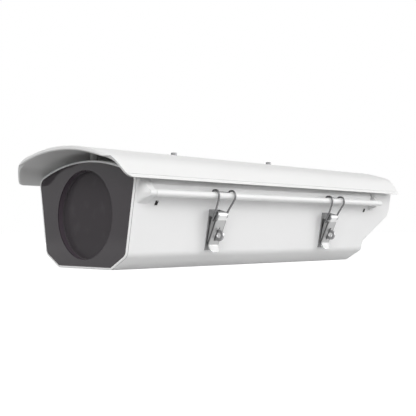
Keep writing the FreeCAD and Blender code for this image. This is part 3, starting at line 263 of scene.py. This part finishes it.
def powder_coat(name, colour, roughness, grain, underside_shade=1.0):
    """Powder coat with small darker specks, and painted shade where the surface faces down: a share of its tone there.
    """
    r = material_recipe(name)
    tone, gloss, normal = coat(r, colour, roughness, grain)
    speck = r.noise(2600.0, 1.0)
    tone = r.blend(speck.above(0.67, 0.04) * 0.16, tone, solid(colour, 0.86))
    # Painted shade: where the surface faces down, the tone is darkened to a share of itself.
    if underside_shade < 1.0:
        below = 1.0 - r.axes("Normal")["Z"].above(-0.06, 0.04)
        tone = r.blend(below, tone, solid(colour, underside_shade))
    return r.finish({"Base Color": tone, "Roughness": gloss, "Specular IOR Level": 0.45, "Normal": normal})


def rim_coat(name, colour, roughness, grain):
    """Powder coat that is smoother on the front rim and painted paler there as a painted highlight, with a line of
    painted shadow in the seam behind it.
    """
    r = material_recipe(name)
    tone, gloss, normal = coat(r, colour, roughness, grain)
    y = r.axes()["Y"]
    behind = y.above(RIM_END, 0.0002)
    rim = 1.0 - behind
    seam_shadow = behind * (1.0 - y.above(RIM_END + SEAM_SHADOW_WIDTH, 0.0002))
    # Painted highlight: the rim is painted paler than the rest of the coat.
    tone = r.blend(rim, tone, solid(RIM_HIGHLIGHT_COLOUR))
    # Painted shadow: the seam behind the rim is darkened.
    tone = r.blend(seam_shadow * 0.65, tone, solid(colour, 0.25))
    return r.finish({"Base Color": tone, "Roughness": gloss - rim * 0.08, "Specular IOR Level": 0.45,
                     "Normal": normal})


def slotted_head(name, colour, roughness):
    """Painted screw head in the leaning side wall, with painted shade in its slot and in a socket mark around it that
    stands for the shade of a recess.
    """
    r = material_recipe(name)
    axes = r.axes()
    wall = WALL_FOOT[0] + (axes["Z"] - WALL_FOOT[1]) * WALL_SLOPE
    slot = ((wall - axes["X"].size()) * 1000.0).above(0.25, 0.12)
    rise = axes["Z"] - SIDE_SCREW_Z
    run = from_middle(axes["Y"], SIDE_SCREW_Y) - rise * SOCKET_SHADE_SLANT
    socket = 1.0 - rise.size().above(SOCKET_SHADE_HALF[0], 0.00012)
    socket = socket * (1.0 - run.size().above(SOCKET_SHADE_HALF[1], 0.00012))
    grime = r.noise(1800.0, 2.0)
    # Painted shade: the slot and the socket mark are blended to near black.
    dark = slot.math("MAXIMUM", slot, socket)
    tone = r.blend(dark, solid(colour, 0.97), solid(SLOT_SHADE_COLOUR))
    return r.finish({"Base Color": tone, "Roughness": roughness + dark * 0.25 + (grime - 0.5) * 0.1,
                     "Normal": r.bump(grime, 0.00003)})


def dark_enamel(name, colour, roughness):
    """Dark panel enamel: fine texture, a soft sheen, a few lighter dust specks, and a duller wall in the opening that
    is painted paler as painted light.
    """
    r = material_recipe(name)
    axes = r.axes()
    wall = axes["Y"].above(OPENING_START, 0.0003)
    cloud = r.noise(34.0, 3.0)
    grain = r.noise(1500.0, 2.0)
    dust = r.noise(3300.0, 0.0).above(0.72, 0.03)
    tone = r.blend(cloud, solid(colour, 0.92), solid(colour, 1.06))
    tone = r.blend(dust * 0.25, tone, solid(colour, 1.9))
    # Painted light: the wall of the opening is painted paler than the face.
    tone = r.blend(wall, tone, solid(colour, 2.6))
    gloss = roughness + (cloud - 0.5) * 0.04 + wall * 0.3
    return r.finish({"Base Color": tone, "Roughness": gloss, "Specular IOR Level": 0.42,
                     "Normal": r.bump(grain, 0.00001)})


def window_pane(name, colour, alpha):
    """Tinted pane: a smooth front with faint cloudy patches of dust."""
    r = material_recipe(name)
    haze = r.noise(60.0, 4.0).above(0.62, 0.10)
    tone = r.blend(haze * 0.10, solid(colour), solid(colour, 2.0))
    return r.finish({"Base Color": tone, "Roughness": 0.035 + haze * 0.03, "Alpha": alpha + haze * 0.02,
                     "Specular IOR Level": 0.05})


def sheet_steel(name, colour, roughness, along):
    """Brushed stainless sheet: hairlines drawn out along one axis, tone and gloss that follow them."""
    r = material_recipe(name)
    stretch = tuple(0.03 if axis == along else 1.0 for axis in "XYZ")
    lines = r.noise(3800.0, 3.0, stretch)
    cloud = r.noise(120.0, 2.0)
    tone = r.blend(lines, solid(colour, 0.86), solid(colour, 1.08))
    tone = r.blend(cloud.above(0.60, 0.12) * 0.18, tone, solid(colour, 0.78))
    return r.finish({"Base Color": tone, "Metallic": 1.0, "Roughness": roughness + (lines - 0.5) * 0.18,
                     "Normal": r.bump(lines, 0.00002)})


def folded_sheet(name, colour, roughness):
    """Pressed lever sheet: a satin face, a painted highlight on the roll round the pin, and duller flanges darkened as
    painted shade behind a crease darkened as painted shadow.
    """
    r = material_recipe(name)
    axes = r.axes()
    beside = from_middle(axes["Y"], LEVER_Y).size()
    x = axes["X"] - LEVER_PIN[0]
    z = axes["Z"] - LEVER_PIN[1]
    out = x * math.cos(LEVER_LEAN) - z * math.sin(LEVER_LEAN) - LEVER_REACH
    along = x * -math.sin(LEVER_LEAN) - z * math.cos(LEVER_LEAN)
    roll_highlight = 1.0 - along.above(LEVER_FACE_START, 0.0003)
    flange_shade = beside.above(LEVER_HALF[0], 0.0003)
    crease_shadow = beside.above(LEVER_HALF[1] - 0.0003, 0.0002) * out.above(-0.0021, 0.0002)
    crease_shadow = crease_shadow * (1.0 - out.above(-0.0005, 0.0002))
    lines = r.noise(3400.0, 3.0, (1.0, 1.0, 0.04))
    rub = r.noise(260.0, 3.0).above(0.58, 0.10)
    tone = r.blend(lines, solid(colour, 0.90), solid(colour, 1.06))
    tone = r.blend(rub * 0.15, tone, solid(colour, 0.76))
    # Painted highlight: the roll round the pin is painted brighter.
    tone = r.blend(roll_highlight, tone, solid(colour, 1.5))
    # Painted shade: the flanges are painted darker.
    tone = r.blend(flange_shade, tone, solid(colour, 0.85))
    # Painted shadow: the crease between face and flange is painted near black.
    tone = r.blend(crease_shadow * 0.85, tone, solid(colour, 0.12))
    gloss = roughness + (lines - 0.5) * 0.16 + flange_shade * 0.1
    return r.finish({"Base Color": tone, "Metallic": 1.0, "Roughness": gloss, "Normal": r.bump(lines, 0.00002)})


def black_rubber(name, colour):
    """Rubber: matt, slightly greyed by fine bloom."""
    r = material_recipe(name)
    bloom = r.noise(420.0, 3.0)
    grain = r.noise(2600.0, 1.0)
    tone = r.blend(bloom, solid(colour, 0.8), solid(colour, 1.5))
    return r.finish({"Base Color": tone, "Roughness": 0.72 + (bloom - 0.5) * 0.15, "Normal": r.bump(grain, 0.00005)})


def moulded_plastic(name, colour, roughness):
    """Moulded plastic: spark-eroded grain and slow changes of gloss from the flow of the melt."""
    r = material_recipe(name)
    flow = r.noise(70.0, 2.0, (1.0, 0.35, 1.0))
    grain = r.noise(2100.0, 2.0)
    tone = r.blend(flow, solid(colour, 0.94), solid(colour, 1.05))
    return r.finish({"Base Color": tone, "Roughness": roughness + (flow - 0.5) * 0.12,
                     "Normal": r.bump(grain, 0.00004)})


def lacquered_board(name, colour, track):
    """Circuit board: green lacquer with paler tracks underneath and the weave of the laminate in its bump."""
    r = material_recipe(name)
    rows = r.add("ShaderNodeTexWave", {"wave_type": "BANDS", "bands_direction": "X"},
                 {"Vector": r.place(), "Scale": 42.0, "Distortion": 0.0})["Fac"]
    tracks = rows.above(0.80, 0.03)
    weave = r.add("ShaderNodeTexWave", {"wave_type": "BANDS", "bands_direction": "DIAGONAL"},
                  {"Vector": r.place(), "Scale": 700.0})["Fac"]
    tone = r.blend(tracks, solid(colour), solid(track))
    return r.finish({"Base Color": tone, "Roughness": 0.34 + (1.0 - tracks) * 0.06,
                     "Normal": r.bump(tracks + weave * 0.15, 0.00004)})


# Shapes

def grid_mesh(name, points):
    """Mesh over a grid of points, rows by columns, with the last column joined to the first."""
    rows, columns = points.shape[:2]
    a, b = np.meshgrid(np.arange(rows - 1), np.arange(columns), indexing="ij")
    a2 = a + 1
    b2 = (b + 1) % columns
    faces = np.stack([a * columns + b, a2 * columns + b, a2 * columns + b2, a * columns + b2], axis=-1)
    mesh = bpy.data.meshes.new(name)
    mesh.from_pydata(points.reshape(-1, 3).tolist(), [], faces.reshape(-1, 4).tolist())
    mesh.polygons.foreach_set("use_smooth", np.ones(len(mesh.polygons), dtype=bool))
    mesh.update()
    return mesh


def joined(name, meshes, material, body):
    """One object from several meshes, one after the other, that rides on a body and takes a slot's finish."""
    vertices = []
    faces = []
    offset = 0
    for mesh in meshes:
        co = np.empty(len(mesh.vertices) * 3)
        mesh.vertices.foreach_get("co", co)
        vertices.append(co.reshape(-1, 3))
        faces += [[offset + i for i in face.vertices] for face in mesh.polygons]
        offset += len(mesh.vertices)
        bpy.data.meshes.remove(mesh)
    mesh = bpy.data.meshes.new(name)
    mesh.from_pydata(np.concatenate(vertices).tolist(), [], faces)
    mesh.polygons.foreach_set("use_smooth", np.ones(len(mesh.polygons), dtype=bool))
    mesh.materials.append(material)
    mesh.update()
    piece = bpy.data.objects.new(name, mesh)
    bpy.context.scene.collection.objects.link(piece)
    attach(piece, body)


def turned(profile, centre, axis, segments):
    """Surface of revolution: each profile point (r, h) goes round the axis at radius r and height h."""
    axis = np.array(axis, float)
    axis /= np.linalg.norm(axis)
    side = np.cross(axis, (1.0, 0.0, 0.0) if abs(axis[0]) < 0.9 else (0.0, 1.0, 0.0))
    side /= np.linalg.norm(side)
    other = np.cross(axis, side)
    angle = np.linspace(0.0, 2 * math.pi, segments, endpoint=False)
    rim = np.cos(angle)[:, None] * side + np.sin(angle)[:, None] * other
    r, h = np.array(profile, float).T
    points = np.array(centre) + r[:, None, None] * rim[None] + h[:, None, None] * axis
    return grid_mesh("turned", points[::-1])


# Settings

class PaintSettings(bpy.types.PropertyGroup):
    """Colours and gloss of the painted pieces."""
    hood: bpy.props.FloatVectorProperty(name="Hood", description="Colour of the sun hood", subtype="COLOR",
                                        size=3, min=0.0, max=1.0, default=(0.88, 0.88, 0.875))
    shell: bpy.props.FloatVectorProperty(name="Shell", description="Colour of the body, lid and caps",
                                         subtype="COLOR", size=3, min=0.0, max=1.0, default=(0.87, 0.87, 0.87))
    panel: bpy.props.FloatVectorProperty(name="Window panel", description="Colour of the dark front panel",
                                         subtype="COLOR", size=3, min=0.0, max=1.0, default=(0.034, 0.027, 0.033))
    panel_roughness: bpy.props.FloatProperty(name="Panel roughness", description="Roughness of the window panel",
                                             subtype="FACTOR", min=0.0, max=1.0, default=0.06)
    # Share of the hood's tone kept where painted shade darkens its downward faces.
    underside_shade: bpy.props.FloatProperty(name="Underside", description="Share of the hood's tone where it faces down",
                                       subtype="FACTOR", min=0.0, max=1.0, default=0.76)
    roughness: bpy.props.FloatProperty(name="Roughness", description="Roughness of the powder coat",
                                       subtype="FACTOR", min=0.0, max=1.0, default=0.42)
    grain: bpy.props.FloatProperty(name="Orange peel", description="Waves per metre of the coat's bump",
                                   min=50.0, max=2000.0, default=620.0)


class GlassSettings(bpy.types.PropertyGroup):
    """Tint of the window."""
    tint: bpy.props.FloatVectorProperty(name="Tint", description="Colour of the pane", subtype="COLOR",
                                        size=3, min=0.0, max=1.0, default=(0.074, 0.067, 0.073))
    cover: bpy.props.FloatProperty(name="Cover", description="How much of the inside the tint hides",
                                   subtype="FACTOR", min=0.0, max=1.0, default=0.90)


class MetalSettings(bpy.types.PropertyGroup):
    """Colours of the bare metal pieces."""
    sheet: bpy.props.FloatVectorProperty(name="Hinge sheet", description="Colour of hinge leaves, pins and rivets",
                                         subtype="COLOR", size=3, min=0.0, max=1.0, default=(0.62, 0.62, 0.62))
    lever: bpy.props.FloatVectorProperty(name="Latch lever", description="Colour of the pressed latch levers",
                                         subtype="COLOR", size=3, min=0.0, max=1.0, default=(0.40, 0.40, 0.40))
    base: bpy.props.FloatVectorProperty(name="Latch base", description="Colour of the plates and ears behind it",
                                        subtype="COLOR", size=3, min=0.0, max=1.0, default=(0.34, 0.34, 0.345))
    wire: bpy.props.FloatVectorProperty(name="Bail wire", description="Colour of the latch wires",
                                        subtype="COLOR", size=3, min=0.0, max=1.0, default=(0.17, 0.17, 0.175))
    plate: bpy.props.FloatVectorProperty(name="Camera plate", description="Colour of the inner aluminium",
                                         subtype="COLOR", size=3, min=0.0, max=1.0, default=(0.74, 0.74, 0.75))


class StageSettings(bpy.types.PropertyGroup):
    """Floor, lights and camera."""
    floor_tone: bpy.props.FloatProperty(name="Floor tone", description="How pale the floor is to the light",
                                        subtype="FACTOR", min=0.0, max=1.0, default=0.60)
    sky: bpy.props.FloatProperty(name="Sky", description="Strength of the even light from all round",
                                 min=0.0, max=3.0, default=0.04)
    key: bpy.props.FloatProperty(name="Key lamp", description="Power of the large lamp on the camera's side",
                                 unit="POWER", min=0.0, max=500.0, default=16.2)
    lens: bpy.props.FloatProperty(name="Focal length", description="Lens on a 36 mm wide sensor",
                                  unit="CAMERA", min=10.0, max=300.0, default=66.52)


# Operators

class HOUSING_OT_paint(bpy.types.Operator):
    """Powder coat the body, lid, caps and hood"""
    bl_idname = "housing.paint"
    bl_label = "Painted shell and hood"

    def execute(self, context):
        s = context.scene.housing_paint
        dress(["lower_shell", "lid_shell", "rear_cap"], powder_coat("shell_coat", s.shell, s.roughness, s.grain))
        dress(["front_cap"], rim_coat("front_cap_coat", s.shell, s.roughness, s.grain))
        dress(["hood"], powder_coat("hood_coat", s.hood, s.roughness, s.grain, s.underside_shade))
        return {"FINISHED"}


class HOUSING_OT_window_end(bpy.types.Operator):
    """Dark front panel, glass and retainer ring"""
    bl_idname = "housing.window_end"
    bl_label = "Window end"

    def execute(self, context):
        paint = context.scene.housing_paint
        glass = context.scene.housing_glass
        dress(["front_panel"], dark_enamel("panel_enamel", paint.panel, paint.panel_roughness))
        dress(["window_glass"], window_pane("window_pane", glass.tint, glass.cover))
        dress(["glass_retainer"], sheet_steel("retainer_sheet", RETAINER_SHEET, 0.42, "X"))
        return {"FINISHED"}


class HOUSING_OT_latches(bpy.types.Operator):
    """Pressed steel latches, their pins, rivets and wire bails"""
    bl_idname = "housing.latches"
    bl_label = "Draw latches"

    def execute(self, context):
        s = context.scene.housing_metal
        dress(["latch_bases"], sheet_steel("latch_base_sheet", s.base, 0.34, "Z"))
        dress(["front_lever", "rear_lever"], folded_sheet("lever_sheet", s.lever, 0.46))
        dress(["latch_pins", "latch_rivets"], sheet_steel("latch_pin_steel", s.sheet, 0.24, "Y"))
        dress(["front_bail", "rear_bail"], sheet_steel("bail_wire", s.wire, 0.26, "Z"))
        return {"FINISHED"}


class HOUSING_OT_hinges(bpy.types.Operator):
    """Butt hinges on the far side"""
    bl_idname = "housing.hinges"
    bl_label = "Hinges"

    def execute(self, context):
        s = context.scene.housing_metal
        dress(["hinge_lower_leaves", "hinge_upper_leaves"], sheet_steel("hinge_sheet", s.sheet, 0.34, "Y"))
        dress(["hinge_pins", "hinge_shell_rivets", "hinge_lid_rivets"],
              sheet_steel("hinge_pin_steel", s.sheet, 0.26, "Y"))
        return {"FINISHED"}


class HOUSING_OT_fasteners(bpy.types.Operator):
    """Screws, stand-offs, camera plate and rest pads"""
    bl_idname = "housing.fasteners"
    bl_label = "Fasteners, camera plate and posts"

    def execute(self, context):
        s = context.scene.housing_metal
        screw = sheet_steel("screw_steel", SCREW_STEEL, 0.30, "X")
        dress(["retainer_screws", "plate_screws", "board_screws", "camera_screw"], screw)
        dress(["hood_screws"], sheet_steel("hood_screw_steel", HOOD_SCREW_STEEL, 0.20, "X"))
        paint = context.scene.housing_paint
        dress(["side_screws"], slotted_head("side_screw_paint", paint.shell, paint.roughness))
        dress(["standoffs", "camera_plate"], sheet_steel("plate_aluminium", s.plate, 0.36, "Y"))
        dress(["rest_pads"], moulded_plastic("pad_plastic", PAD_PLASTIC, 0.50))
        return {"FINISHED"}


class HOUSING_OT_seals(bpy.types.Operator):
    """Rubber seals and washers"""
    bl_idname = "housing.seals"
    bl_label = "Seals"

    def execute(self, context):
        dress(["end_seals", "lid_seal", "hood_washers"], black_rubber("seal_rubber", SEAL_RUBBER))
        dress(["window_seal"], black_rubber("window_seal_rubber", WINDOW_SEAL_RUBBER))
        return {"FINISHED"}


class HOUSING_OT_glands(bpy.types.Operator):
    """Cable glands under the rear slope"""
    bl_idname = "housing.glands"
    bl_label = "Cable glands"

    def execute(self, context):
        dress(["gland_bodies", "gland_nuts", "gland_locknuts"], moulded_plastic("gland_nylon", GLAND_NYLON, 0.48))
        return {"FINISHED"}


class HOUSING_OT_wiring(bpy.types.Operator):
    """Connection board, terminal block and the screws in its wells"""
    bl_idname = "housing.wiring"
    bl_label = "Connection board and terminals"

    def execute(self, context):
        dress(["terminal_board"], lacquered_board("board_lacquer", BOARD_LACQUER, BOARD_TRACK))
        dress(["terminal_block"], moulded_plastic("terminal_plastic", TERMINAL_PLASTIC, 0.40))
        low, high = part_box("terminal_block")
        pitch = (high.x - low.x) / TERMINAL_WELLS
        seats = [(low.x + (i + 0.5) * pitch, (low.y + high.y) / 2, high.z - WELL_DEPTH) for i in range(TERMINAL_WELLS)]
        screws = [turned(SCREW_HEAD, seat, (0, 0, 1), SCREW_SEGMENTS) for seat in seats]
        steel = sheet_steel("terminal_screw_steel", TERMINAL_STEEL, 0.32, "X")
        joined("terminal_screws", screws, steel, "housing")
        return {"FINISHED"}


class HOUSING_OT_stage(bpy.types.Operator):
    """Pale floor, white surroundings, soft lamps and the camera"""
    bl_idname = "housing.stage"
    bl_label = "Stage"

    def execute(self, context):
        s = context.scene.housing_stage
        floor_and_sky(s)
        for name, share, place in LAMPS:
            lamp(name, s.key * share, place)
        photo_camera(s.lens)
        context.scene.view_settings.view_transform = "Standard"
        return {"FINISHED"}


def seen_direct(recipe):
    """1 where a surface is seen by the camera, in a mirror-like gloss or through glass, else 0."""
    path = recipe.add("ShaderNodeLightPath", {}, {})
    seen = path["Is Camera Ray"] + path["Is Glossy Ray"] + path["Is Transmission Ray"]
    return seen.math("MINIMUM", seen, 1.0)


def floor_and_sky(s):
    """Floor disc that glows towards the camera only, and a world that is white there and softer elsewhere."""
    r = material_recipe("stage_floor")
    tone = s.floor_tone
    base = r.add("ShaderNodeBsdfDiffuse", {}, {"Color": (tone, tone, tone, 1.0)})["BSDF"]
    away = r.add("ShaderNodeVectorMath", {"operation": "LENGTH"}, {0: r.place()})["Value"]
    strength = FLOOR_GLOW + away.above(0.9, 0.7) * (1.0 - FLOOR_GLOW)
    glow = r.add("ShaderNodeEmission", {}, {"Color": (1.0, 1.0, 1.0, 1.0), "Strength": seen_direct(r) * strength})
    glow = glow["Emission"]
    both = r.add("ShaderNodeAddShader", {}, {0: base, 1: glow})["Shader"]
    r.add("ShaderNodeOutputMaterial", {}, {"Surface": both})
    radius = np.array(FLOOR_RINGS)
    angle = np.linspace(0.0, 2 * math.pi, 96, endpoint=False)
    points = np.stack([radius[:, None] * np.cos(angle), radius[:, None] * np.sin(angle),
                       np.full((len(radius), len(angle)), -FLOOR_DROP)], axis=-1)
    mesh = grid_mesh("stage_floor", points)
    mesh.materials.append(r.owner)
    floor = bpy.data.objects.new("stage_floor", mesh)
    bpy.context.scene.collection.objects.link(floor)

    world = bpy.data.worlds.new("stage_sky")
    bpy.context.scene.world = world
    sky = Recipe(world)
    strength = s.sky + seen_direct(sky) * (1.0 - s.sky)
    shader = sky.add("ShaderNodeBackground", {}, {"Color": (1.0, 1.0, 1.0, 1.0), "Strength": strength})["Background"]
    sky.add("ShaderNodeOutputWorld", {}, {"Surface": shader})


def lamp(name, power, place):
    """Square soft lamp that points at the object."""
    data = bpy.data.lights.new(name, "AREA")
    data.energy = power
    data.size = LAMP_WIDTH
    light = bpy.data.objects.new(name, data)
    bpy.context.scene.collection.objects.link(light)
    aim = Vector(place) - Vector(LAMP_TARGET)
    light.matrix_world = Matrix.Translation(place) @ aim.to_track_quat("Z", "Y").to_matrix().to_4x4()


def photo_camera(lens):
    """Camera at the photograph's place, with its axes worked out from its turn and tilt."""
    turn = math.radians(CAMERA_TURN)
    tilt = math.radians(CAMERA_TILT)
    back = Vector((math.sin(turn) * math.cos(tilt), -math.cos(turn) * math.cos(tilt), math.sin(tilt)))
    right = Vector((math.cos(turn), math.sin(turn), 0.0))
    up = back.cross(right)
    away, aside, lift = CAMERA_PLACE
    place = Vector(CAMERA_ABOUT) + back * away + right * aside + up * lift
    data = bpy.data.cameras.new("photo_camera")
    data.lens = lens
    data.sensor_width = 36.0
    data.clip_start = 0.01
    camera = bpy.data.objects.new("photo_camera", data)
    bpy.context.scene.collection.objects.link(camera)
    turn_matrix = Matrix((right, up, back)).transposed().to_4x4()
    camera.matrix_world = Matrix.Translation(place) @ turn_matrix
    bpy.context.scene.camera = camera


class HOUSING_PT_panel(bpy.types.Panel):
    """Shows the housing's settings and a button for each of its operators"""
    bl_idname = "HOUSING_PT_panel"
    bl_label = "Camera housing"
    bl_space_type = "VIEW_3D"
    bl_region_type = "UI"
    bl_category = "Housing"

    def draw(self, context):
        for group in SETTINGS:
            settings = getattr(context.scene, group)
            box = self.layout.box()
            for name in settings.bl_rna.properties.keys():
                if name not in ("rna_type", "name"):
                    box.prop(settings, name)
        for operator in OPERATORS:
            self.layout.operator(operator.bl_idname)


SETTINGS = {"housing_paint": PaintSettings, "housing_glass": GlassSettings, "housing_metal": MetalSettings,
            "housing_stage": StageSettings}
OPERATORS = (HOUSING_OT_paint, HOUSING_OT_window_end, HOUSING_OT_latches, HOUSING_OT_hinges,
             HOUSING_OT_fasteners, HOUSING_OT_seals, HOUSING_OT_glands, HOUSING_OT_wiring, HOUSING_OT_stage)


def register():
    """Add the settings, operators and panel."""
    for name, group in SETTINGS.items():
        bpy.utils.register_class(group)
        setattr(bpy.types.Scene, name, bpy.props.PointerProperty(type=group))
    for item in OPERATORS + (HOUSING_PT_panel,):
        bpy.utils.register_class(item)


def unregister():
    """Take them away again."""
    for item in reversed(OPERATORS + (HOUSING_PT_panel,)):
        bpy.utils.unregister_class(item)
    for name, group in SETTINGS.items():
        delattr(bpy.types.Scene, name)
        bpy.utils.unregister_class(group)


def main():
    """Dress the whole housing."""
    register()
    for operator in OPERATORS:
        family, name = operator.bl_idname.split(".")
        getattr(getattr(bpy.ops, family), name)()


if __name__ == "__main__":
    main()
